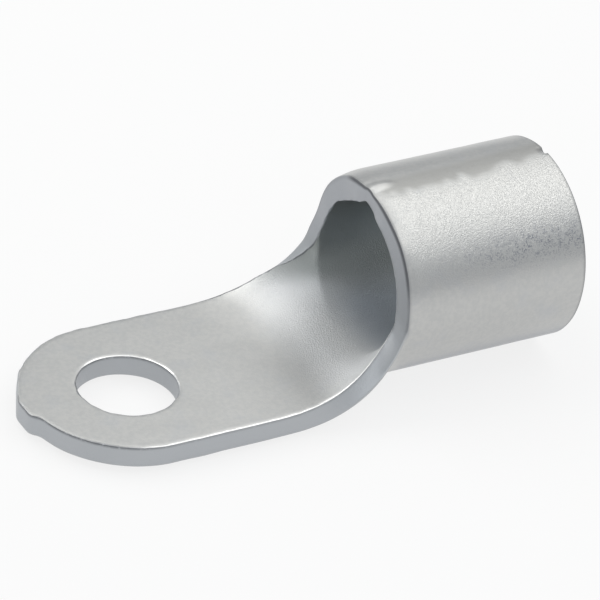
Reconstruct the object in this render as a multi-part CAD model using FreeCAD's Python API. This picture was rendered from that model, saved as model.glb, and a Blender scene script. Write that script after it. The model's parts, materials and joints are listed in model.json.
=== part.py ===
import FreeCAD, Part
import os
from math import asin, atan2, cos, degrees, radians, sin, sqrt
from FreeCAD import Vector

# A ring terminal stamped from thick sheet: a flat tongue with a stud hole, and a
# barrel rolled from the same sheet and brazed shut along its top.
# Millimetres. The origin is on the stud hole's axis, at the tongue's underside.
# +X runs from the tongue to the barrel's open end, +Z is the side the barrel rises on.

# The sheet and the flat tongue
sheet = 2.0
rollover = 0.25
tongue_width = 17.4
stud_hole = 8.4
hole_edge_break = 0.12

# The land left at the tip where the blank was cut off its strip
land_height = 0.5
land_near = 0.95
land_far = 1.15
land_step = 0.65

# The barrel
barrel_bore = 13.0
barrel_length = 17.1
hole_to_rear = 38.0
barrel_drop = 0.5

# The neck, where the flat sheet curls up into the barrel
flat_behind_hole = 8.0
neck_flare = 0.75
curl_rise = 2.7
curl_close = 1.3
shoulder_round = 1.2
shoulder_turn = 80.0
neck_stations = 9
shoulder_stations = 4

# The strip along the middle of the underside, which the part rests on
resting_strip = 1.8

# The brazed seam along the barrel's top, which crosses it at a slight slant
seam_skew = 2.7
seam_groove_width = 1.1
seam_groove_depth = 0.1
seam_lip_length = 3.6
seam_lip_height = 0.13
seam_lip_radius = 0.55
seam_nick_width = 1.0
seam_nick_depth = 0.4
seam_nick_run = 1.6
seam_flat_angle = 35.0
seam_flat_radius = 18.0

# What follows from the sizes above
bore_radius = barrel_bore / 2
barrel_radius = bore_radius + sheet
roll_radius = bore_radius + sheet / 2
axis_height = barrel_radius - barrel_drop
barrel_front = hole_to_rear - barrel_length
neck_start = flat_behind_hole
neck_length = barrel_front - neck_start
half_tongue = tongue_width / 2
last_turn = radians(shoulder_turn)
shoulder_half_width = half_tongue + neck_flare + shoulder_round * (1 - cos(last_turn))


def point(x, y, z):
    return Vector(x, y, z)


def line(start, end):
    return Part.LineSegment(start, end).toShape()


def arc(start, middle, end):
    return Part.Arc(start, middle, end).toShape()


def prism(edges, height):
    return Part.Face(Part.Wire(edges)).extrude(point(0, 0, height))


# Flat tongue: a strip with a round end that is concentric with the stud hole
def tongue():
    near_end = point(0, -half_tongue, 0)
    near_neck = point(neck_start, -half_tongue, 0)
    far_neck = point(neck_start, half_tongue, 0)
    far_end = point(0, half_tongue, 0)
    edges = [
        line(near_end, near_neck),
        line(near_neck, far_neck),
        line(far_neck, far_end),
        arc(far_end, point(-half_tongue, 0, 0), near_end),
    ]
    return prism(edges, sheet)


# The land at the tip has a short step on one side and runs out along a tangent on the other
def tip_land():
    reach = half_tongue + land_height
    foot = asin((land_near + land_step) / half_tongue)
    to_corner = sqrt(reach ** 2 + land_far ** 2)
    tangent = atan2(land_far, reach) + atan2(sqrt(to_corner ** 2 - half_tongue ** 2), half_tongue)
    corners = [
        point(0, 0, 0),
        point(-half_tongue * cos(foot), -half_tongue * sin(foot), 0),
        point(-reach, -land_near, 0),
        point(-reach, land_far, 0),
        point(-half_tongue * cos(tangent), half_tongue * sin(tangent), 0),
    ]
    return prism(Part.makePolygon(corners + corners[:1]).Edges, sheet)


# The punch left the outline's lower edge rounded, all but where the neck carries on
def rounded_tongue():
    plate = tongue().fuse(tip_land()).removeSplitter()
    underside = [edge for edge in plate.Edges if edge.BoundBox.ZMax < rollover]
    outline = [edge for edge in underside if edge.BoundBox.XMin < neck_start - rollover]
    return plate.makeFillet(rollover, outline)


# How far the sheet has curled at a share t of the neck's length: 0 is flat, 1 is the barrel's roll
def curl(t):
    return 1 - (1 - t ** curl_rise) ** curl_close


def ease(t):
    return t * t * (3 - 2 * t)


def flat_section(x, half_width):
    top = [point(x, side * half_width, sheet) for side in (-1, 1)]
    wall = [point(x, side * half_width, rollover) for side in (-1, 1)]
    foot = [point(x, side * (half_width - rollover), 0) for side in (-1, 1)]
    bulge = rollover * (1 - sqrt(0.5))
    knee = [point(x, side * (half_width - bulge), bulge) for side in (-1, 1)]
    return Part.Wire([
        line(top[0], top[1]),
        line(top[1], wall[1]),
        arc(wall[1], knee[1], foot[1]),
        line(foot[1], point(x, resting_strip / 2, 0)),
        line(point(x, resting_strip / 2, 0), point(x, -resting_strip / 2, 0)),
        line(point(x, -resting_strip / 2, 0), foot[0]),
        arc(foot[0], knee[0], wall[0]),
        line(wall[0], top[0]),
    ])


# The strip bent to an arc: its cut edges stay square to the sheet and keep their rounded lower corner
def bent_section(x, half_width, bend, floor):
    angle = half_width / bend
    inner = bend - sheet / 2
    outer = bend + sheet / 2
    corner = outer - rollover
    set_in = asin(rollover / corner)

    def at(radius, turn):
        return point(x, radius * sin(turn), floor + bend - radius * cos(turn))

    def knee(side):
        outwards = point(0, side * sin(angle - set_in), -cos(angle - set_in))
        sideways = point(0, side * cos(angle), sin(angle))
        return at(corner, side * (angle - set_in)) + (outwards + sideways).normalize() * rollover

    wall = corner * cos(set_in)
    foot = angle - set_in
    rest = resting_strip / 2 / outer
    return Part.Wire([
        arc(at(inner, -angle), at(inner, 0), at(inner, angle)),
        line(at(inner, angle), at(wall, angle)),
        arc(at(wall, angle), knee(1), at(outer, foot)),
        arc(at(outer, foot), at(outer, (foot + rest) / 2), at(outer, rest)),
        arc(at(outer, rest), at(outer, 0), at(outer, -rest)),
        arc(at(outer, -rest), at(outer, -(foot + rest) / 2), at(outer, -foot)),
        arc(at(outer, -foot), knee(-1), at(wall, -angle)),
        line(at(wall, -angle), at(inner, -angle)),
    ])


# One cross-section of the neck. widening is what the round inside the shoulder adds to its half width
def neck_section(t, widening):
    x = neck_start + t * neck_length
    half_width = half_tongue + neck_flare * t ** 2 + widening
    floor = sheet / 2 - barrel_drop * ease(t)
    if curl(t) == 0:
        return flat_section(x, half_width)
    return bent_section(x, half_width, roll_radius / curl(t), floor)


# The sections run evenly to the shoulder's round, then at even turns round it to the barrel's front
def neck():
    round_share = shoulder_round * sin(last_turn) / neck_length
    sections = []
    for i in range(neck_stations):
        sections.append(neck_section(i / neck_stations * (1 - round_share), 0))
    for i in range(shoulder_stations + 1):
        turn = last_turn * i / shoulder_stations
        share = 1 - round_share * (1 - sin(turn) / sin(last_turn))
        sections.append(neck_section(share, shoulder_round * (1 - cos(turn))))
    return Part.makeLoft(sections, True, False)


def along_barrel(radius, height):
    base = point(barrel_front, 0, axis_height + height)
    return Part.makeCylinder(radius, barrel_length, base, point(1, 0, 0))


# The end of the sheet stayed nearly flat in the roll, which shows in the bore on the seam's far side
def bore():
    half_angle = radians(seam_flat_angle / 2)
    half_chord = bore_radius * sin(half_angle)
    height = bore_radius * cos(half_angle) - sqrt(seam_flat_radius ** 2 - half_chord ** 2)
    flattened = along_barrel(seam_flat_radius, height)
    flattened.rotate(point(0, 0, axis_height), point(1, 0, 0), seam_skew - seam_flat_angle / 2)
    return along_barrel(bore_radius, 0).common(flattened)


def barrel():
    return along_barrel(barrel_radius, 0).cut(bore())


# What the rounding of a rim takes away, from its top down to a given angle on both sides.
# inwards is +1 at the front rim and -1 at the rear one.
def rim_rounding(x, inwards, angle):
    top = axis_height + barrel_radius
    centre = point(x + inwards * rollover, 0, top - rollover)
    bulge = rollover * sqrt(0.5)
    outside = point(x - inwards * rollover, 0, top + rollover)
    start = point(x, 0, centre.z)
    end = point(centre.x, 0, top)
    edges = [
        arc(start, point(centre.x - inwards * bulge, 0, centre.z + bulge), end),
        line(end, point(end.x, 0, outside.z)),
        line(point(end.x, 0, outside.z), outside),
        line(outside, point(outside.x, 0, start.z)),
        line(point(outside.x, 0, start.z), start),
    ]
    axis_point = point(x, 0, axis_height)
    profile = Part.Face(Part.Wire(edges))
    profile.rotate(axis_point, point(1, 0, 0), -angle)
    return profile.revolve(axis_point, point(1, 0, 0), 2 * angle)


# A point on the seam line at a distance x along the part, raised by a height over the barrel
def on_seam(x, height):
    share = (x - barrel_front) / barrel_length
    slant = radians(seam_skew) * (2 * share - 1)
    radius = barrel_radius + height
    return point(x, radius * sin(slant), axis_height + radius * cos(slant))


def rod_between(radius, start, end):
    return Part.makeCylinder(radius, start.distanceToPoint(end), start, end - start)


# Radius of the rod that cuts a groove of this width and depth into a flat
def groove_rod(width, depth):
    return (width ** 2 / 4 + depth ** 2) / (2 * depth)


def seam_groove():
    radius = groove_rod(seam_groove_width, seam_groove_depth)
    height = radius - seam_groove_depth
    return rod_between(radius, on_seam(barrel_front - sheet, height), on_seam(hole_to_rear + sheet, height))


# The nick where the seam leaves the rear rim deepens towards the rim
def seam_nick():
    radius = seam_nick_width / 2
    start = on_seam(hole_to_rear - seam_nick_run, radius)
    end = on_seam(hole_to_rear + seam_nick_run, radius - 2 * seam_nick_depth)
    return rod_between(radius, start, end)


# A bead of braze stands proud beside the seam at its front end and sinks in towards the rear
def seam_lip():
    beside = point(0, seam_lip_radius, 0)
    start = on_seam(barrel_front + seam_lip_radius, seam_lip_height - seam_lip_radius) + beside
    end = on_seam(barrel_front + seam_lip_length, -seam_lip_radius) + beside
    nose = Part.makeSphere(seam_lip_radius, start)
    return rod_between(seam_lip_radius, start, end).fuse(nose)


def hole_upper_edge(body):
    closed = [edge for edge in body.Edges if edge.Closed and edge.BoundBox.XMax < stud_hole]
    return [edge for edge in closed if edge.BoundBox.ZMin > sheet - hole_edge_break]


def ring_terminal():
    body = rounded_tongue().fuse([neck(), barrel()]).removeSplitter()
    shoulder_angle = 180 - degrees(shoulder_half_width / roll_radius)
    body = body.cut(rim_rounding(barrel_front, 1, shoulder_angle))
    body = body.cut(rim_rounding(hole_to_rear, -1, 180))
    body = body.cut(seam_groove()).fuse(seam_lip()).cut(seam_nick())
    body = body.cut(Part.makeCylinder(stud_hole / 2, sheet))
    return body.makeChamfer(hole_edge_break, hole_upper_edge(body))


body = ring_terminal()
print("solids", len(body.Solids), "valid", body.isValid(), "volume", round(body.Volume, 2))

os.makedirs("parts", exist_ok=True)
body.exportStep("parts/ring_terminal.step")
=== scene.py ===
import bpy
import bmesh
import json
import numpy as np
from collections import namedtuple
from math import asin, cos, hypot, pi, radians, sin, sqrt
from mathutils import Matrix, Vector
from mathutils.geometry import delaunay_2d_cdt


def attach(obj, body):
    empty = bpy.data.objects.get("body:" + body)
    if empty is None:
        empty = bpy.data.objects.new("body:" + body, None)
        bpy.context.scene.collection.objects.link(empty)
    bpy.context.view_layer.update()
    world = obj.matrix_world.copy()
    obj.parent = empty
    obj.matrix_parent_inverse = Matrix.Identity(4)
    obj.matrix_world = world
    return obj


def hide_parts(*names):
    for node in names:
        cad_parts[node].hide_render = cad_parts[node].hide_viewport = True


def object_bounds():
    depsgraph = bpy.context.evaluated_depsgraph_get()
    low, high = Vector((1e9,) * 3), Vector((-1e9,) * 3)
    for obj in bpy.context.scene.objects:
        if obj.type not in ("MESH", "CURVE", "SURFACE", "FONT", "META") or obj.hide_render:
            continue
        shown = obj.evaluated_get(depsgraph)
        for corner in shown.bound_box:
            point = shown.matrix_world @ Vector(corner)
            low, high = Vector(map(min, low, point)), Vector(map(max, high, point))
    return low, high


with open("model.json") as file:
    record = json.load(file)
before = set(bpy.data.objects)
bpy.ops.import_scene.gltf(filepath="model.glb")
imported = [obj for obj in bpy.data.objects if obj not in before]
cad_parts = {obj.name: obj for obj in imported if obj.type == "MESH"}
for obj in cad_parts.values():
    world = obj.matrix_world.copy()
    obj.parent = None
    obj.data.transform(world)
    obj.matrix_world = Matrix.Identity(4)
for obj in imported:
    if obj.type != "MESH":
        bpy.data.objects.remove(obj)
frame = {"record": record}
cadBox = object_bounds()
mounts = {mount["name"]: mount for mount in frame["record"]["mounts"]}
millimetre = 0.001
print("frame loaded")


# The terminal is one blank of thick sheet: it is drawn flat, then rolled. Millimetres.
# x runs along the terminal, s runs across the flat blank, n goes through the sheet:
# its lower face becomes the barrel's outside, its upper face the tongue's top and the bore.
# Turns are degrees round the barrel, from its lowest line over the far side and the top.
# A From says where something starts and how soon it is full, an End where it is gone and how
# long it fades before that, and an Arc is a From and an End in turns.
terminal = dict(
    sheet=2.0, tongueWidth=17.54, flatBehindHole=8.0, curlRise=2.7, curlClose=1.3,
    neckFlare=0.75, flareStart=12.0, flarePower=1.6,
    shoulders={1: (3.2, 4.2), -1: (1.7, 1.7)},    # along the neck and round the rim, far and near
    bulges={1: (0.2, 18.4, 3.2), -1: (0.35, 20.2, 2.0)},    # how far out, where and how long
    rimSetBack=0.52, setBackEnd=(172, 30), shoulderSetBack=0.2, shoulderEnd=(130, 40),
    rimDrop=0.27, rimDropReach=2.1, rimDropArc=(70, 30, 300, 40), nearDrop=0.3, fullDropEnd=(228, 22),
    rearFlare=0.11, rearFlarePower=1.3, rearFlareArc=(110, 50, 265, 45),
    undulation=0.012, swells=((0.3, 5.5, 3), (0.2, 2.2, 4)),    # share, wave length and seed
)

boreRadius = mounts["barrel_bore"]["dims"]["r_mm"]
barrelLength = mounts["barrel_bore"]["dims"]["length_mm"]
holeRadius = mounts["stud_hole"]["dims"]["r_mm"]
rear = cadBox[1].x / millimetre
front = rear - barrelLength
half = terminal["sheet"] / 2
rollRadius = boreRadius + half
drop = -cadBox[0].z / millimetre
halfTongue = terminal["tongueWidth"] / 2
neckStart = terminal["flatBehindHole"]
neckLength = front - neckStart


def smoothStep(value):
    value = np.clip(value, 0, 1)
    return value * value * (3 - 2 * value)


def rises(value, start, length):
    return smoothStep((value - start) / length)


def falls(value, end, length):
    return smoothStep((end - value) / length)


def within(value, start, rise, end, fall):
    return rises(value, start, rise) * falls(value, end, fall)


def atLeast(least, share):
    return least + (1 - least) * share


def turnAt(s):
    return np.degrees(s / rollRadius) % 360


# A smooth random field over points, as a sum of waves of about one length
def waves(points, length, seed, count=26, shortest=0.7, longest=1.5):
    rng = np.random.RandomState(seed)
    total = np.zeros(len(points))
    for _ in range(count):
        direction = rng.normal(size=3)
        direction *= 2 * pi / (length * rng.uniform(shortest, longest)) / np.linalg.norm(direction)
        total += np.sin(points @ direction + rng.uniform(0, 2 * pi))
    return total * sqrt(2 / count)


def halfWidth(x):    # of the blank, from the hole to the barrel's front
    share = np.clip((x - terminal["flareStart"]) / (front - terminal["flareStart"]), 0, 1)
    return halfTongue + terminal["neckFlare"] * share ** terminal["flarePower"]


def rimLine(s):    # x of the blank's front rim; its far side was cut further back
    back = terminal["rimSetBack"] * falls(turnAt(s), *terminal["setBackEnd"])
    return front + back + terminal["shoulderSetBack"] * falls(turnAt(s), *terminal["shoulderEnd"])


# From the flat blank to the rolled form: the same curl as the CAD part's neck
def rollSheet(x, s, n):
    share = np.clip((x - neckStart) / neckLength, 0, 1)
    curl = 1 - (1 - share ** terminal["curlRise"]) ** terminal["curlClose"]
    bend = curl / rollRadius
    floor = half - drop * smoothStep(share)
    isFlat = bend < 1e-7
    radius = 1 / np.where(isFlat, 1, bend)
    y = np.where(isFlat, s, (radius - n) * np.sin(s * bend))
    z = np.where(isFlat, n, radius - (radius - n) * np.cos(s * bend)) + floor
    return np.stack([x, y, z], axis=1)


# The brazed seam along the barrel's top. Across is measured from it, minus on the far side.
seam = dict(
    skew=2.7, grooveWidth=0.8, grooveDepth=0.012, grooveWander=(0.06, 0.8, 0.5),    # swing, pitch, phase
    beadHeight=0.15, beadFullness=1.25, beadAcross=-0.2, beadWidth=0.68, beadStart=0.8, beadLength=2.7,
    dimpleDepth=0.06, dimpleX=1.7, dimpleAcross=0.95, dimpleWidth=0.5, dimpleLength=1.5,
    nickAcross=0.45, nickWidth=0.32, nickDepth=0.3, nickRun=0.6, reliefStart=-2,
    # the strip beside it that stayed nearly flat, which shows in the bore
    flatFacing=148.5, flatReach=60, flatFromAxis=6.05, flatEase=9, deepest=0.5, easedFrom=-1,
    nearRunOut=14.0, boreFrom=(100, 15), seamTolerance=0.01,
)


def slant(x):
    return radians(seam["skew"]) * (2 * (x - front) / barrelLength - 1)


def seamEdge(x, side):    # s of the blank's edge that meets the other at the seam
    return side * rollRadius * (pi - side * slant(x))


def acrossSeam(x, s):
    return rollRadius * ((s / rollRadius + slant(x)) % (2 * pi) - pi)


def beadShare(x, s):    # the drop of braze that stands proud at the seam's front end
    across = (acrossSeam(x, s) - seam["beadAcross"]) / seam["beadWidth"]
    along = np.maximum(x - front - seam["beadStart"], 0) / (seam["beadLength"] - seam["beadStart"])
    return smoothStep(seam["beadFullness"] * (1 - np.hypot(across, along)))


def outerRelief(x, s):    # how far the barrel's outside is cut in, minus where it stands proud
    along, across = x - front, acrossSeam(x, s)
    swing, pitch, phase = seam["grooveWander"]
    groove = ((across + swing * np.sin(along * pitch + phase)) / seam["grooveWidth"]) ** 2
    relief = seam["grooveDepth"] * np.exp(-groove * 2) - seam["beadHeight"] * beadShare(x, s)
    dimpleAlong = (along - seam["dimpleX"]) / seam["dimpleLength"]
    dimpleAcross = (across - seam["dimpleAcross"]) / seam["dimpleWidth"]
    relief = relief + seam["dimpleDepth"] * smoothStep(1 - np.hypot(dimpleAlong, dimpleAcross))
    nick = seam["nickDepth"] * smoothStep(1 - (rear - x) / seam["nickRun"])
    relief = relief + nick * np.exp(-((across - seam["nickAcross"]) / seam["nickWidth"]) ** 4)
    fromRim = np.clip(1 - (x - rimLine(s)) / terminal["rimDropReach"], 0, 1) ** 2
    roundRim = within(turnAt(s), *terminal["rimDropArc"])
    roundRim = roundRim * atLeast(terminal["nearDrop"], falls(turnAt(s), *terminal["fullDropEnd"]))
    return np.where(along > seam["reliefStart"], relief + terminal["rimDrop"] * fromRim * roundRim, 0)


def innerRelief(x, s):    # how far the bore is cut in; the flat strip ends in a step at the seam
    turned, seamTurn = turnAt(s), 180 - np.degrees(slant(x))
    toFacing = np.clip(turned - seam["flatFacing"], -seam["flatReach"], seam["flatReach"])
    depth = seam["flatFromAxis"] / np.cos(np.radians(toFacing)) - boreRadius
    eased = np.log1p(np.exp(-np.clip(depth, seam["easedFrom"], seam["deepest"]) * seam["flatEase"]))
    flat = np.maximum(depth, 0) * (turned > seam["flatFacing"]) - eased / seam["flatEase"]
    runOut = seam["deepest"] * smoothStep(1 - (turned - seamTurn) / seam["nearRunOut"])
    isFarSide = turned < seamTurn - seam["seamTolerance"]
    relief = np.where(isFarSide, np.minimum(flat, seam["deepest"]), runOut)
    return relief * rises(turned, *seam["boreFrom"]) * (x - front > seam["reliefStart"])


# The finished point for blank coordinates, with the relief and the sheet's slight unevenness
def sheetPoint(x, s, n):
    plain = rollSheet(x, s, n)
    uneven = 1
    for share, length, seed in terminal["swells"]:
        uneven = uneven + share * waves(plain, length, seed)
    towardRear = np.clip((x - front) / barrelLength, 0, 1) ** terminal["rearFlarePower"]
    flare = terminal["rearFlare"] * within(turnAt(s), *terminal["rearFlareArc"]) * towardRear
    uneven = terminal["undulation"] * uneven - flare
    lower = -half + outerRelief(x, s) + uneven
    upper = half - innerRelief(x, s) - uneven
    return rollSheet(x, s, lower + (n + half) / terminal["sheet"] * (upper - lower))


# The blank's outline: the land at the tip where it was cut off its strip, and its sheared edge
outlineForm = dict(
    landReach=9.38, landNear=0.95, landFar=1.25, landStep=0.65, landRunOut=(7.62, 4.85), landRound=0.3,
    cornerPoints=40, runPoints=60, fineStep=0.04, step=0.22,
)


# Smooths a polyline's points along its length; its two ends stay
def soften(points, step, width):
    reach = int(3 * width / step)
    weights = np.exp(-0.5 * (np.arange(-reach, reach + 1) * step / width) ** 2)
    weights /= weights.sum()
    ends = [np.linspace(2 * points[0] - points[reach], points[0], reach, endpoint=False)]
    ends += [points, np.linspace(points[-1], 2 * points[-1] - points[-1 - reach], reach + 1)[1:]]
    padded = np.concatenate(ends)
    return np.stack([np.convolve(padded[:, i], weights, "valid") for i in (0, 1)], axis=1)


def resample(points, step):
    lengths = np.concatenate([[0], np.cumsum(np.hypot(*np.diff(points, axis=0).T))])
    where = np.linspace(0, lengths[-1], int(round(lengths[-1] / step)) + 1)
    return np.stack([np.interp(where, lengths, points[:, i]) for i in (0, 1)], axis=1)


# From the seam along the front rim, round the shoulder and along the neck, on one side
def flankLine(side):
    corner, run = outlineForm["cornerPoints"], outlineForm["runPoints"]
    reach, rise = terminal["shoulders"][side]
    turns = np.linspace(pi / 2, 0, corner)
    foot = rimLine(side * (halfWidth(front) + rise)) - reach
    shoulderX = foot + reach * np.sin(turns)
    shoulderS = halfWidth(shoulderX) + rise * (1 - np.cos(turns))
    rimS = np.linspace(abs(seamEdge(front, side)), shoulderS[0], run)[:-1]
    neckX = np.linspace(foot, neckStart, corner)[1:]
    x = np.concatenate([rimLine(side * rimS), shoulderX, neckX])
    s = np.concatenate([rimS, shoulderS, halfWidth(neckX)])
    bulge, bulgeX, bulgeReach = terminal["bulges"][side]
    s[run:] += bulge * smoothStep(1 - np.abs(x - bulgeX) / bulgeReach)[run:]
    return np.stack([x, side * s], axis=1)


def tongueArc(start, end):
    turns = np.linspace(start, end, outlineForm["runPoints"])
    return np.stack([halfTongue * np.cos(turns), halfTongue * np.sin(turns)], axis=1)


# From the seam on the far side round the tongue to the seam on the near side
def blankOutline():
    reach, near, far = (outlineForm[name] for name in ("landReach", "landNear", "landFar"))
    runOutX, runOutS = outlineForm["landRunOut"]
    foot = asin((near + outlineForm["landStep"]) / halfTongue)
    tangent = np.arctan2(runOutS, runOutX) + np.arccos(halfTongue / hypot(runOutX, runOutS))
    farArc, nearArc = tongueArc(pi / 2, pi - tangent), tongueArc(pi + foot, 1.5 * pi)
    land = np.array([(-runOutX, runOutS), (-reach, far), (-reach, -near)])
    loop = np.concatenate([flankLine(1), farArc, land, nearArc, flankLine(-1)[::-1]])
    fine = resample(loop, outlineForm["fineStep"])
    return resample(soften(fine, outlineForm["fineStep"], outlineForm["landRound"]), outlineForm["step"])


# Unit normals of a polyline that turns so that the sheet lies on its left
def inwardNormals(points, closed):
    if closed:
        along = np.roll(points, -1, axis=0) - np.roll(points, 1, axis=0)
    else:
        along = np.gradient(points, axis=0)
    along /= np.hypot(*along.T)[:, None]
    return np.stack([-along[:, 1], along[:, 0]], axis=1)


# A sheared edge: rounded at its lower corner, with a burr as a narrow facet along the upper one.
# Wall rows are shares of the wall's height. A burr row is a share of the way in and of the fall,
# then how much it is cut face and how much it is burr.
sheared = dict(
    rollover=0.3, farRollover=0.75, rimRollover=0.11, holeRollover=0.2, rollRows=7,
    slant=0.04, slantFrom=0.35, wallRows=(0.17, 0.34, 0.51, 0.68, 0.84, 0.93, 1.0), shadeFrom=(0.84, 0.16),
    burrIn=0.13, burrFall=0.065,
    burrRows=((0.12, 0.72, 0.7, 1), (0.5, 0.35, 0.4, 1), (0.88, 0.05, 0.1, 1), (1.0, 0.0, 0, 0.3)),
    rimLean=0.3, nearLeanArc=(-170, 12, -60, 20), farLeanArc=(60, 20, 122, 20),
    onRimFrom=(1.6, 1.6), onNeckFrom=(13, 4),
    wobble=0.02, wobbleMiddle=0.5, wobbleSwing=0.25, wobbleLength=3.0,
    softness=0.12, softnessLength=4.0, softnessLimit=2, burrWander=0.028, burrLength=1.1, burrLimit=1.5,
)

# One row of points along an edge. How far in and how high it lies is a share of the rollover
# and a length; then how much it is cut face, how much it is shaded by the burr, and how much
# it is the burr itself.
EdgeRow = namedtuple("EdgeRow", "inShare inwards upShare level cut shaded burr")


def edgeRows(slantIn):
    rows = []
    for turn in np.linspace(0, pi / 2, sheared["rollRows"]):
        rows.append(EdgeRow(1 - sin(turn), 0, 1 - cos(turn), -half, sin(turn) ** 2, 0, 0))
    for share in sheared["wallRows"]:
        slanted = slantIn * max(0, share - sheared["slantFrom"]) / (1 - sheared["slantFrom"])
        level = -half + share * (2 * half - sheared["burrFall"])
        rows.append(EdgeRow(0, slanted, 1 - share, level, 1, rises(share, *sheared["shadeFrom"]), 0))
    for inward, fall, cut, burr in sheared["burrRows"]:
        level = half - sheared["burrFall"] * fall
        rows.append(EdgeRow(0, slantIn + sheared["burrIn"] * inward, 0, level, cut, 0, burr))
    return rows


# A cut edge round the sheet: its line in the blank, the way into the sheet, and its rows.
# Looks says where it is the barrel's rim and where lined, and where it gets a painted glint, painted shade
# under the burr, or painted shade on the burr, from 0 to 1.
class CutEdge:
    def __init__(self, line, rows, rollover, seed, closed=False, lean=0.0, **looks):
        self.line, self.rows, self.closed, self.lean = line, rows, closed, lean
        self.rollover = np.zeros(len(line)) + rollover
        self.looks = {name: np.zeros(len(line)) + value for name, value in looks.items()}
        self.into = inwardNormals(line, closed)
        rolled = rollSheet(line[:, 0], line[:, 1], np.zeros(len(line)))
        swing = sheared["wobbleSwing"] * waves(rolled, sheared["wobbleLength"], seed)
        self.wobble = sheared["wobble"] * (sheared["wobbleMiddle"] + swing).clip(0, 1)
        softness, most = waves(rolled, sheared["softnessLength"], seed + 1), sheared["softnessLimit"]
        self.softer = 1 + sheared["softness"] * softness.clip(-most, most)
        wander, most = waves(rolled, sheared["burrLength"], seed + 2), sheared["burrLimit"]
        self.burrWander = sheared["burrWander"] * wander.clip(-most, most)

    def at(self, index, further=0.0):    # the row's points in the blank
        row = self.rows[index]
        inward = (row.inShare * self.rollover + row.inwards) * self.softer + self.wobble + further
        isBurr = row.burr > 0 and row.level > 0
        inward += self.burrWander * isBurr - self.lean * (row.level + half) / terminal["sheet"]
        points = self.line + self.into * inward[:, None]
        if not self.closed:    # both ends stay on the seam
            side = np.sign(self.line[[0, -1], 1])
            points[[0, -1], 1] = seamEdge(points[[0, -1], 0], side)
        return points

    def levels(self, index):
        return self.rows[index].upShare * self.rollover + self.rows[index].level


# Where the burr gets a painted glint or painted shade, where painted shade lies under it, and where a dark
# line lies along a rim
edgeLooks = dict(
    lineArc=(148, 14, 262, 22), farLine=0.15, nearLine=0.35, lowerLine=0.45, rearLine=0.85,
    brightFrom=(-5, 5), shadeEnd=(2, 6), leastShade=0.45, rimShade=0.6, farLimit=2,
    dullEnd=(-2, 3), neckDull=1.7, neckDullFrom=(9, 4), dullBurr=0.5, upperBurr=0.3,
    rearShade=0.4, holeBrightFrom=(-3.4, 2), holeShade=0.8, holeShadeFrom=(-1, 2), holeDullEnd=(-2.4, 1.5),
)


def outlineEdge(rows):
    line = blankOutline()
    x, s = line.T
    turned = np.degrees(s / rollRadius)    # minus on the near side
    onRim = rises(np.abs(s) - halfTongue, *sheared["onRimFrom"])
    offRim, seenSide = 1 - onRim, s < edgeLooks["farLimit"]
    onFarNeck = rises(x, *sheared["onNeckFrom"]) * (s > 0) * offRim
    rollover = sheared["rollover"] + (sheared["farRollover"] - sheared["rollover"]) * onFarNeck
    rollover += (sheared["rimRollover"] - rollover) * onRim
    leaning = within(turned, *sheared["nearLeanArc"]) + within(turned, *sheared["farLeanArc"])
    start, rise, end, fall = edgeLooks["lineArc"]
    lined = atLeast(edgeLooks["farLine"], rises(turned % 360, start, rise))
    lined = lined * atLeast(edgeLooks["nearLine"], falls(turned % 360, end, fall))
    shade = atLeast(edgeLooks["leastShade"], falls(x, *edgeLooks["shadeEnd"]))
    farNeckPaintedShade = edgeLooks["neckDull"] * rises(x, *edgeLooks["neckDullFrom"]) * (s > 0) * offRim
    return CutEdge(
        line, rows, rollover, seed=11, lean=sheared["rimLean"] * onRim * leaning,
        rim=onRim, lined=onRim * lined, bright=rises(x, *edgeLooks["brightFrom"]) * (s < 0) * offRim,
        shade=shade * seenSide * (1 - edgeLooks["rimShade"] * onRim),
        dull=falls(x, *edgeLooks["dullEnd"]) * seenSide + farNeckPaintedShade)


def rearEdge(rows):
    count = int(2 * pi * rollRadius / spacing["rim"])
    s = np.linspace(seamEdge(rear, -1), seamEdge(rear, 1), count)
    return CutEdge(
        np.stack([np.full(count, rear), s], axis=1), rows, sheared["rimRollover"], seed=21,
        rim=1, lined=edgeLooks["rearLine"], bright=0, shade=edgeLooks["rearShade"], dull=0)


def holeEdge(rows):
    turns = np.linspace(2 * pi, 0, spacing["holePoints"], endpoint=False)
    x, s = holeRadius * np.cos(turns), holeRadius * np.sin(turns)
    return CutEdge(
        np.stack([x, s], axis=1), rows, sheared["holeRollover"], seed=31, closed=True,
        rim=0, lined=0, bright=rises(x, *edgeLooks["holeBrightFrom"]) * (s > 0),
        shade=edgeLooks["holeShade"] * rises(s, *edgeLooks["holeShadeFrom"]),
        dull=falls(x, *edgeLooks["holeDullEnd"]))


# How the points lie in the blank, with the first columns beside the seam. The weld is in metres.
spacing = dict(
    grid=0.32, rim=0.3, holePoints=120, seamPoints=54, fringe=0.2, clearance=0.2,
    rimMargin=0.6, pastFront=0.45, pastTongue=2, seamMargin=1.33,
    besideSeam=(0.1, 0.2, 0.31, 0.44, 0.6, 0.8, 1.05), bow=0.004, chunks=40, exactness=1e-7, weld=2e-7,
)


def isInside(points, polygon):
    inside = np.zeros(len(points), bool)
    for a, b in zip(polygon, np.roll(polygon, -1, axis=0)):
        crosses = (a[1] > points[:, 1]) != (b[1] > points[:, 1])
        with np.errstate(divide="ignore", invalid="ignore"):
            at = (b[0] - a[0]) * (points[:, 1] - a[1]) / (b[1] - a[1]) + a[0]
        inside ^= crosses & (points[:, 0] < at)
    return inside


def distanceTo(points, line):
    parts = np.array_split(points, spacing["chunks"])
    return np.concatenate([np.sqrt(((part[:, None] - line[None]) ** 2).sum(2)).min(1) for part in parts])


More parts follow.
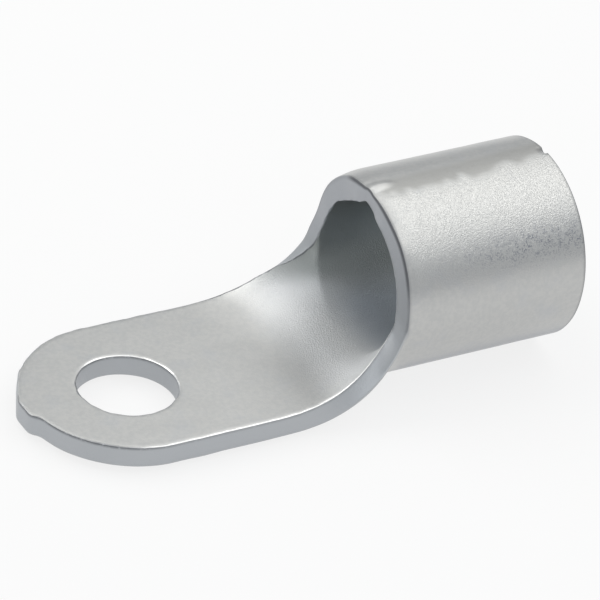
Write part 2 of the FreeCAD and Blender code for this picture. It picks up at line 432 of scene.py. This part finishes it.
def barrelGrid():
    step, margin, inset = (spacing[name] for name in ("grid", "seamMargin", "rimMargin"))
    turn, beside = 2 * pi * rollRadius, np.array(spacing["besideSeam"])
    between = np.linspace(margin, turn - margin, int(turn / step))
    columns = np.concatenate([beside, between, turn - beside[::-1]])
    rows = np.linspace(front + inset, rear - inset, int((barrelLength - 2 * inset) / step))
    x, u = np.meshgrid(rows, columns)
    return np.stack([x.ravel(), (seamEdge(x, -1) + u).ravel()], axis=1)


def flatGrid():    # every other row is shifted, for even triangles
    step, past = spacing["grid"], spacing["pastTongue"]
    columns = np.arange(-halfTongue, front + spacing["pastFront"], step)
    x, s = np.meshgrid(columns, np.arange(-halfTongue - past, halfTongue + past, step))
    x = x + (np.arange(x.shape[0]) % 2)[:, None] * step / 2
    return np.stack([x.ravel(), s.ravel()], axis=1)


# The blank's points: its border and the hole, a fringe beside them, then a grid.
# Places are the indices of the edges' points, seams those of the two sides of the seam.
def blankPoints(edges):
    outline, rearRim, hole = rings = [edge.at(0) for edge in edges]
    seamX = np.linspace(outline[0, 0], rearRim[0, 0], spacing["seamPoints"])[1:-1]
    nearSeam, farSeam = (np.stack([seamX, seamEdge(seamX, side)], axis=1) for side in (-1, 1))
    border = np.concatenate([outline, nearSeam, rearRim, farSeam[::-1]])
    fringe = np.concatenate([edge.at(0, spacing["fringe"])[1:-1] for edge in edges])
    grid = np.concatenate([barrelGrid(), flatGrid()])
    grid = grid[isInside(grid, border)]
    grid = grid[np.hypot(*grid.T) > holeRadius]
    grid = grid[distanceTo(grid, np.concatenate([fringe, *rings])) > spacing["clearance"]]
    starts = 0, len(outline) + len(seamX), len(border)
    places = [start + np.arange(len(ring)) for start, ring in zip(starts, rings)]
    seams = slice(len(outline), starts[1]), slice(len(border) - len(seamX), len(border))
    return np.concatenate([border, hole, fringe, grid]), places, seams


def blankTriangles(blank, places, seams):
    holeStart, holeEnd = places[2][0], places[2][-1] + 1
    loops = [list(range(holeStart)), list(range(holeStart, holeEnd))]
    constraints = [(a, b) for loop in loops for a, b in zip(loop, loop[1:] + loop[:1])]
    bowed = blank.copy()    # a straight seam would leave slivers along it
    near, far = seams
    bow = spacing["bow"] * np.sin(np.linspace(0, pi, spacing["seamPoints"]))[1:-1]
    bowed[near, 1] -= bow
    bowed[far, 1] += bow
    corners = [Vector(point) for point in bowed.tolist()]
    found = delaunay_2d_cdt(corners, constraints, [], 0, spacing["exactness"])
    first = [sources[0] for sources in found[3]]
    triangles = np.array([[first[i] for i in face] for face in found[2]])
    centres = bowed[triangles].mean(1)
    keep = isInside(centres, bowed[:holeStart]) & ~isInside(centres, blank[holeStart:holeEnd])
    print("blank", len(blank), "points", keep.sum(), "triangles")
    return triangles[keep]


# Where the tin looks different, by turns, from the barrel's front, or across from the seam; most of these
# marks are painted light or shade, as said at each.
# The trough is measured from the stud hole, and its flanks across the blank.
tinMarks = dict(
    barrelFrom=(0, 1.5), farWallFrom=(25, 40), farWallLimit=270, highWallFrom=(45, 25),
    boreReach=6.0, farForward=3.0, highForward=3.4, nearBore=0.25, floorFrom=(-1, 5),
    troughFrom=(13, 5), flankFrom=(8, 3), scallop=0.25, scallopLength=1.6, scallopSeed=41, beadLimit=-1,
    wornFrom=(0.9, 0.7), wornEnd=(255, 35), dullFrom=(-1.1, 0.9), dullEnd=(1.15, 0.6),
    stainTurn=237, stainWidth=11, leastStain=0.25, stainFrom=(1, 11), undersideTurn=312, undersideWidth=9,
)


def surfaceLooks(x, s, onUpper, cutFace):
    turned, along, fromSeam = turnAt(s), x - front, acrossSeam(x, s)
    onBarrel = rises(along, *tinMarks["barrelFrom"]) * (1 - onUpper)
    farWall = rises(turned, *tinMarks["farWallFrom"]) * (turned < tinMarks["farWallLimit"])
    highWall = farWall * rises(turned, *tinMarks["highWallFrom"])
    forward = tinMarks["farForward"] * farWall + tinMarks["highForward"] * highWall
    lengthwise = np.stack([x, 0 * x, 0 * x], axis=1)
    scallop = tinMarks["scallop"] * waves(lengthwise, tinMarks["scallopLength"], tinMarks["scallopSeed"])
    bandShape = np.exp(-((turned - tinMarks["stainTurn"]) / tinMarks["stainWidth"]) ** 2)
    undersideShade = np.exp(-((turned - tinMarks["undersideTurn"]) / tinMarks["undersideWidth"]) ** 2)
    return dict(
        # painted shade in the bore, reaching forward onto the trough's far wall
        boreShade=onUpper * rises(along + forward, 0, tinMarks["boreReach"]) * atLeast(tinMarks["nearBore"], farWall),
        # painted bluish reflection on the bore's floor
        boreFloor=onUpper * rises(along, *tinMarks["floorFrom"]) * (1 - farWall),
        # the trough: a painted highlight in colour, and real grain and roughness
        trough=onUpper * rises(x, *tinMarks["troughFrom"]) * (1 - rises(np.abs(s), *tinMarks["flankFrom"])),
        # painted highlight on the braze bead
        bead=beadShare(x, s) * (along > tinMarks["beadLimit"]) * (1 - cutFace),
        # painted highlight: lighter tin over the highlight band below the seam, with a scalloped edge; the
        # same mask raises the grain
        worn=onBarrel * rises(fromSeam - scallop, *tinMarks["wornFrom"]) * falls(turned, *tinMarks["wornEnd"]),
        # painted shade: a darker strip along the seam, holding back the highlight there
        dull=onBarrel * rises(fromSeam, *tinMarks["dullFrom"]) * falls(fromSeam - scallop, *tinMarks["dullEnd"]),
        # a darker, bluish, speckled band along the barrel round turn 237, fuller towards the rear
        stained=bandShape * atLeast(tinMarks["leastStain"], rises(along, *tinMarks["stainFrom"])) * onBarrel,
        # painted shade along the barrel's lower limb
        undersideShade=undersideShade * onBarrel,
    )


# Points, faces and looks of the whole terminal. Both faces are the same blank; on the upper
# one the edges' points lie nearer to the outline. The edges' rows join the two.
def terminalMesh():
    rows = edgeRows(sheared["slant"])
    edges = [outlineEdge(rows), rearEdge(rows), holeEdge(edgeRows(0))]
    blank, places, seams = blankPoints(edges)
    triangles = blankTriangles(blank, places, seams)
    count = len(blank)
    upper = blank.copy()
    for edge, place in zip(edges, places):
        upper[place] = edge.at(-1)
    points = [np.column_stack([flat, np.full(count, n)]) for flat, n in ((blank, -half), (upper, half))]
    names = "cutFace", "rim", "rimLine", "burr", "underBurr"
    marks = {name: [np.zeros(count), np.zeros(count)] for name in names}
    isUpper = [np.zeros(count), np.ones(count)]
    faces = triangles[:, ::-1].tolist() + (triangles + count).tolist()
    used = 2 * count
    for edge, place in zip(edges, places):
        looks = edge.looks
        marks["rimLine"][0][place] = edgeLooks["lowerLine"] * looks["lined"]
        # painted glint: on the upper face's border here, and on the burr's rows below
        marks["burr"][1][place] = edgeLooks["upperBurr"] * looks["bright"]
        indices = [place]
        for index, row in enumerate(edge.rows[1:-1], 1):
            points.append(np.column_stack([edge.at(index), edge.levels(index)]))
            isUpper.append((edge.levels(index) + half) / terminal["sheet"])
            # painted shade on the burr, and under it on the cut face
            dullBurr = edgeLooks["dullBurr"] * row.burr * looks["dull"]
            marks["cutFace"].append(np.full(len(place), row.cut))
            marks["rim"].append(row.cut * looks["rim"])
            marks["rimLine"].append((row.level == -half) * looks["lined"])
            marks["burr"].append(row.burr * looks["bright"])
            marks["underBurr"].append(np.maximum(row.shaded * looks["shade"], dullBurr))
            indices.append(used + np.arange(len(place)))
            used += len(place)
        indices.append(place + count)
        for low, high in zip(indices, indices[1:]):
            if edge.closed:
                low, high = np.append(low, low[0]), np.append(high, high[0])
            faces += np.stack([low[:-1], low[1:], high[1:], high[:-1]], axis=1).tolist()
    x, s, n = np.concatenate(points).T
    looks = {name: np.concatenate(parts) for name, parts in marks.items()}
    looks.update(surfaceLooks(x, s, np.concatenate(isUpper), looks["cutFace"]))
    return sheetPoint(x, s, n), faces, looks


def buildTerminal():
    place, faces, looks = terminalMesh()
    mesh = bpy.data.meshes.new("ringTerminal")
    mesh.from_pydata((place * millimetre).tolist(), [], faces)
    for name, data in looks.items():
        mesh.attributes.new(name, "FLOAT", "POINT").data.foreach_set("value", data)
    work = bmesh.new()
    work.from_mesh(mesh)
    bmesh.ops.remove_doubles(work, verts=work.verts, dist=spacing["weld"])    # closes the seam
    work.to_mesh(mesh)
    work.free()
    mesh.shade_smooth()
    mesh.update()
    body = bpy.data.objects.new("ringTerminal", mesh)
    bpy.context.collection.objects.link(body)
    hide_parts("ring_terminal")
    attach(body, "root")
    print("terminal", len(mesh.vertices), "points", len(mesh.polygons), "faces")
    return body


# A value or colour on its way through a material, which takes part in ordinary sums
class Wire:
    def __init__(self, shader, socket):
        self.shader, self.socket = shader, socket

    def sum(self, operation, first, second):
        return self.shader.node("ShaderNodeMath", dict(operation=operation), {0: first, 1: second})

    def __add__(self, other):
        return self.sum("ADD", self, other)

    def __sub__(self, other):
        return self.sum("SUBTRACT", self, other)

    def __rsub__(self, other):
        return self.sum("SUBTRACT", other, self)

    def __mul__(self, other):
        return self.sum("MULTIPLY", self, other)

    __radd__, __rmul__ = __add__, __mul__

    def stretch(self, low, high):    # low..high becomes 0..1, smoothly
        settings = dict(interpolation_type="SMOOTHSTEP")
        return self.shader.node("ShaderNodeMapRange", settings, {0: self, 1: low, 2: high})


# A material and the one way its nodes are made: type, settings, then values or wires by socket
class Shader:
    def __init__(self, name, tree=None):
        if tree is None:
            self.material = bpy.data.materials.new(name)
            self.material.use_nodes = True
            tree = self.material.node_tree
        self.tree = tree
        self.tree.nodes.clear()

    def node(self, kind, settings=None, inputs=None, output=0):
        made = self.tree.nodes.new(kind)
        for name, value in (settings or {}).items():
            setattr(made, name, value)
        for name, value in (inputs or {}).items():
            socket = made.inputs[name]
            if isinstance(value, Wire):
                self.tree.links.new(value.socket, socket)
            elif isinstance(value, tuple) and len(value) == 3 and socket.type == "RGBA":
                socket.default_value = (*value, 1)
            else:
                socket.default_value = value
        return Wire(self, made.outputs[output]) if made.outputs else None

    def mix(self, share, first, second):
        return self.node("ShaderNodeMix", dict(data_type="RGBA"), {0: share, 6: first, 7: second}, 2)

    def noise(self, place, scale, detail, roughness):
        settings = {"Vector": place, "Scale": scale, "Detail": detail, "Roughness": roughness}
        return self.node("ShaderNodeTexNoise", {}, settings)

    def attribute(self, name):
        return self.node("ShaderNodeAttribute", dict(attribute_name=name), {}, "Fac")


# Matte tin over copper: grainy, rougher and bluish where the sheet was cut, with painted shade making it
# darker in the bore.
# A noise is its count to a millimetre, its detail and its roughness.
tin = dict(
    metallic=0.82, roughness=0.33, light=(0.54, 0.54, 0.53), dark=(0.495, 0.50, 0.495),
    patches=(0.4, 4, 0.6), speckle=(2.4, 4, 0.65), grain=(8.5, 2, 0.6),
    bumpStrength=0.55, bumpDistance=0.00004, bumpGrain=0.5, bumpWorn=2.6, bumpTrough=1.8, bumpSpeckle=0.25,
    speckleRoughness=0.12, roughening=dict(cutFace=0.1, trough=0.2, rimLine=0.25, burr=-0.05),
    # the part of each noise that shows in a layer
    mottle=(0.35, 0.65), bluishPatches=(0.5, 0.75), wornGrain=(0.38, 0.58), leastWorn=0.2, leastDull=0.6,
    stainGrain=(0.42, 0.6), stainSpeckle=(0.38, 0.58), lineSpeckle=(0.25, 0.5),
)

# What is mixed over the plain tin, from the first layer to the last: its colour and how strongly. Most of
# them are painted light or shade, as said at each.
layers = dict(
    bluish=((0.45, 0.47, 0.50), 0.3),
    # painted highlight over the band below the seam
    worn=((0.68, 0.68, 0.665), 1.0),
    # painted shade along the seam
    dull=((0.34, 0.34, 0.33), 1.0),
    # a darker speckled band round turn 237
    stained=((0.17, 0.185, 0.23), 0.8),
    # painted shade along the underside
    undersideShade=((0.30, 0.32, 0.35), 0.7),
    # painted highlight in the trough
    trough=((0.84, 0.85, 0.86), 0.8),
    # painted bluish reflection on the bore's floor
    boreFloor=((0.58, 0.63, 0.71), 0.8),
    # painted shade in the bore
    boreShade=((0.27, 0.295, 0.285), 0.75),
    cutFace=((0.44, 0.46, 0.485), 0.85),
    # painted shade on the rims' cut faces
    rim=((0.39, 0.405, 0.43), 0.9),
    # painted shade under the burr and on it
    underBurr=((0.13, 0.135, 0.145), 0.9),
    # painted highlight on the braze bead
    bead=((0.85, 0.85, 0.84), 0.45),
    rimLine=((0.13, 0.135, 0.145), 0.9),
    # painted highlight along the burr
    burr=((0.85, 0.85, 0.84), 1.0),
)


def tinMaterial():
    shader = Shader("matteTin")
    place = shader.node("ShaderNodeTexCoord", {}, {}, "Object")
    toMillimetres = {0: place, 1: (1 / millimetre,) * 3}
    place = shader.node("ShaderNodeVectorMath", dict(operation="MULTIPLY"), toMillimetres)
    patches, speckle, grain = (shader.noise(place, *tin[name]) for name in ("patches", "speckle", "grain"))
    shares = {name: shader.attribute(name) for name in layers if name != "bluish"}
    worn, trough = shares["worn"], shares["trough"]
    shares["bluish"] = patches.stretch(*tin["bluishPatches"])
    shares["worn"] = worn * atLeast(tin["leastWorn"], grain.stretch(*tin["wornGrain"]))
    shares["dull"] = shares["dull"] * atLeast(tin["leastDull"], speckle)
    bandSpots = grain.stretch(*tin["stainGrain"]) * speckle.stretch(*tin["stainSpeckle"])
    shares["stained"] = shares["stained"] * bandSpots
    shares["underBurr"] = shares["underBurr"] * speckle.stretch(*tin["lineSpeckle"])
    colour = shader.mix(speckle.stretch(*tin["mottle"]), tin["dark"], tin["light"])
    for name, (finish, strength) in layers.items():
        colour = shader.mix(shares[name] * strength, colour, finish)
    roughness = tin["roughness"] + (speckle - 0.5) * tin["speckleRoughness"]
    for name, amount in tin["roughening"].items():
        roughness = roughness + shares[name] * amount
    height = grain * (worn * tin["bumpWorn"] + trough * tin["bumpTrough"] + tin["bumpGrain"])
    height = height + speckle * tin["bumpSpeckle"]
    bump = shader.node("ShaderNodeBump", {}, {
        "Strength": tin["bumpStrength"], "Distance": tin["bumpDistance"], "Height": height})
    surface = shader.node("ShaderNodeBsdfPrincipled", {}, {
        "Base Color": colour, "Roughness": roughness, "Metallic": tin["metallic"], "Normal": bump})
    shader.node("ShaderNodeOutputMaterial", {}, {"Surface": surface})
    print("tin", len(layers), "layers")
    return shader.material


# Floor, background and lamps. The floor glows only where the camera or a reflection sees it.
studio = dict(
    floorSize=3.0, floorColour=(0.76, 0.76, 0.76), floorGlow=0.8,
    roomLight=0.5, roomColour=(0.97, 1.0, 1.03), lampDistance=0.30,
    lamps=[
        dict(name="left", azimuth=210, elevation=50, size=0.30, watts=0.42, colour=(1, 0.985, 0.95)),
        dict(name="end", azimuth=78, elevation=61, size=0.29, watts=0.29, colour=(1, 0.99, 0.965)),
        dict(name="near", azimuth=345, elevation=32, size=0.30, watts=0.17, colour=(0.97, 0.99, 1)),
        dict(name="behind", azimuth=138, elevation=44, size=0.18, watts=0.06, colour=(1, 0.985, 0.95)),
    ],
)


def towards(azimuth, elevation):    # azimuth is from -Y over +X, in radians
    return Vector((sin(azimuth) * cos(elevation), -cos(azimuth) * cos(elevation), sin(elevation)))


def paperMaterial():
    shader = Shader("palePaper")
    camera, glossy, through = (shader.node("ShaderNodeLightPath", {}, {}, name) for name in (
        "Is Camera Ray", "Is Glossy Ray", "Is Transmission Ray"))
    seen = camera + glossy + through
    paper = shader.node("ShaderNodeBsdfDiffuse", {}, {"Color": studio["floorColour"]})
    glow = shader.node("ShaderNodeEmission", {}, {"Color": (1, 1, 1), "Strength": 1.0})
    both = shader.node("ShaderNodeMixShader", {}, {0: seen * studio["floorGlow"], 1: paper, 2: glow})
    shader.node("ShaderNodeOutputMaterial", {}, {"Surface": both})
    return shader.material


def buildFloor():
    size, level = studio["floorSize"], cadBox[0].z
    mesh = bpy.data.meshes.new("floor")
    corners = [(x * size, y * size, level) for x, y in ((-1, -1), (1, -1), (1, 1), (-1, 1))]
    mesh.from_pydata(corners, [], [(0, 1, 2, 3)])
    floor = bpy.data.objects.new("floor", mesh)
    bpy.context.collection.objects.link(floor)
    floor.data.materials.append(paperMaterial())
    print("floor")


def buildLight():
    world = bpy.data.worlds.new("studio")
    world.use_nodes = True
    bpy.context.scene.world = world
    room = Shader("room", world.node_tree)
    air = room.node("ShaderNodeBackground", {}, {
        "Color": studio["roomColour"], "Strength": studio["roomLight"]})
    room.node("ShaderNodeOutputWorld", {}, {"Surface": air})
    middle = (cadBox[0] + cadBox[1]) / 2
    for lamp in studio["lamps"]:
        data = bpy.data.lights.new(lamp["name"], "AREA")
        data.shape, data.size, data.energy = "DISK", lamp["size"], lamp["watts"]
        data.color = lamp["colour"]
        light = bpy.data.objects.new(lamp["name"], data)
        toLamp = towards(radians(lamp["azimuth"]), radians(lamp["elevation"]))
        light.location = middle + toLamp * studio["lampDistance"]
        light.rotation_euler = toLamp.to_track_quat("Z", "Y").to_euler()
        bpy.context.collection.objects.link(light)
    print("light", len(studio["lamps"]), "lamps")


# The camera looks down on the tongue from in front, a little tilted. aim is where the picture's
# middle lies from the stud hole, in the picture's own directions. Millimetres and degrees.
view = dict(
    azimuth=-33.341, elevation=33.208, roll=7.124, distance=353.031, aimRight=14.235, aimUp=8.566,
    lens=259.73, sensor=36, nearest=10, farthest=10000,
)


def buildCamera():
    azimuth, elevation, roll = (radians(view[name]) for name in ("azimuth", "elevation", "roll"))
    back = towards(azimuth, elevation)
    level = Vector((0, 0, 1)).cross(back).normalized()
    upright = back.cross(level)
    right = level * cos(roll) + upright * sin(roll)
    up = upright * cos(roll) - level * sin(roll)
    data = bpy.data.cameras.new("camera")
    data.sensor_width, data.lens = view["sensor"], view["lens"]
    data.clip_start, data.clip_end = view["nearest"] * millimetre, view["farthest"] * millimetre
    camera = bpy.data.objects.new("camera", data)
    place = (right * view["aimRight"] + up * view["aimUp"] + back * view["distance"]) * millimetre
    camera.matrix_world = Matrix.Translation(place) @ Matrix((right, up, back)).transposed().to_4x4()
    bpy.context.collection.objects.link(camera)
    bpy.context.scene.camera = camera
    print("camera")


body = buildTerminal()
body.data.materials.append(tinMaterial())
buildFloor()
buildLight()
buildCamera()
bpy.context.scene.view_settings.view_transform = "Standard"
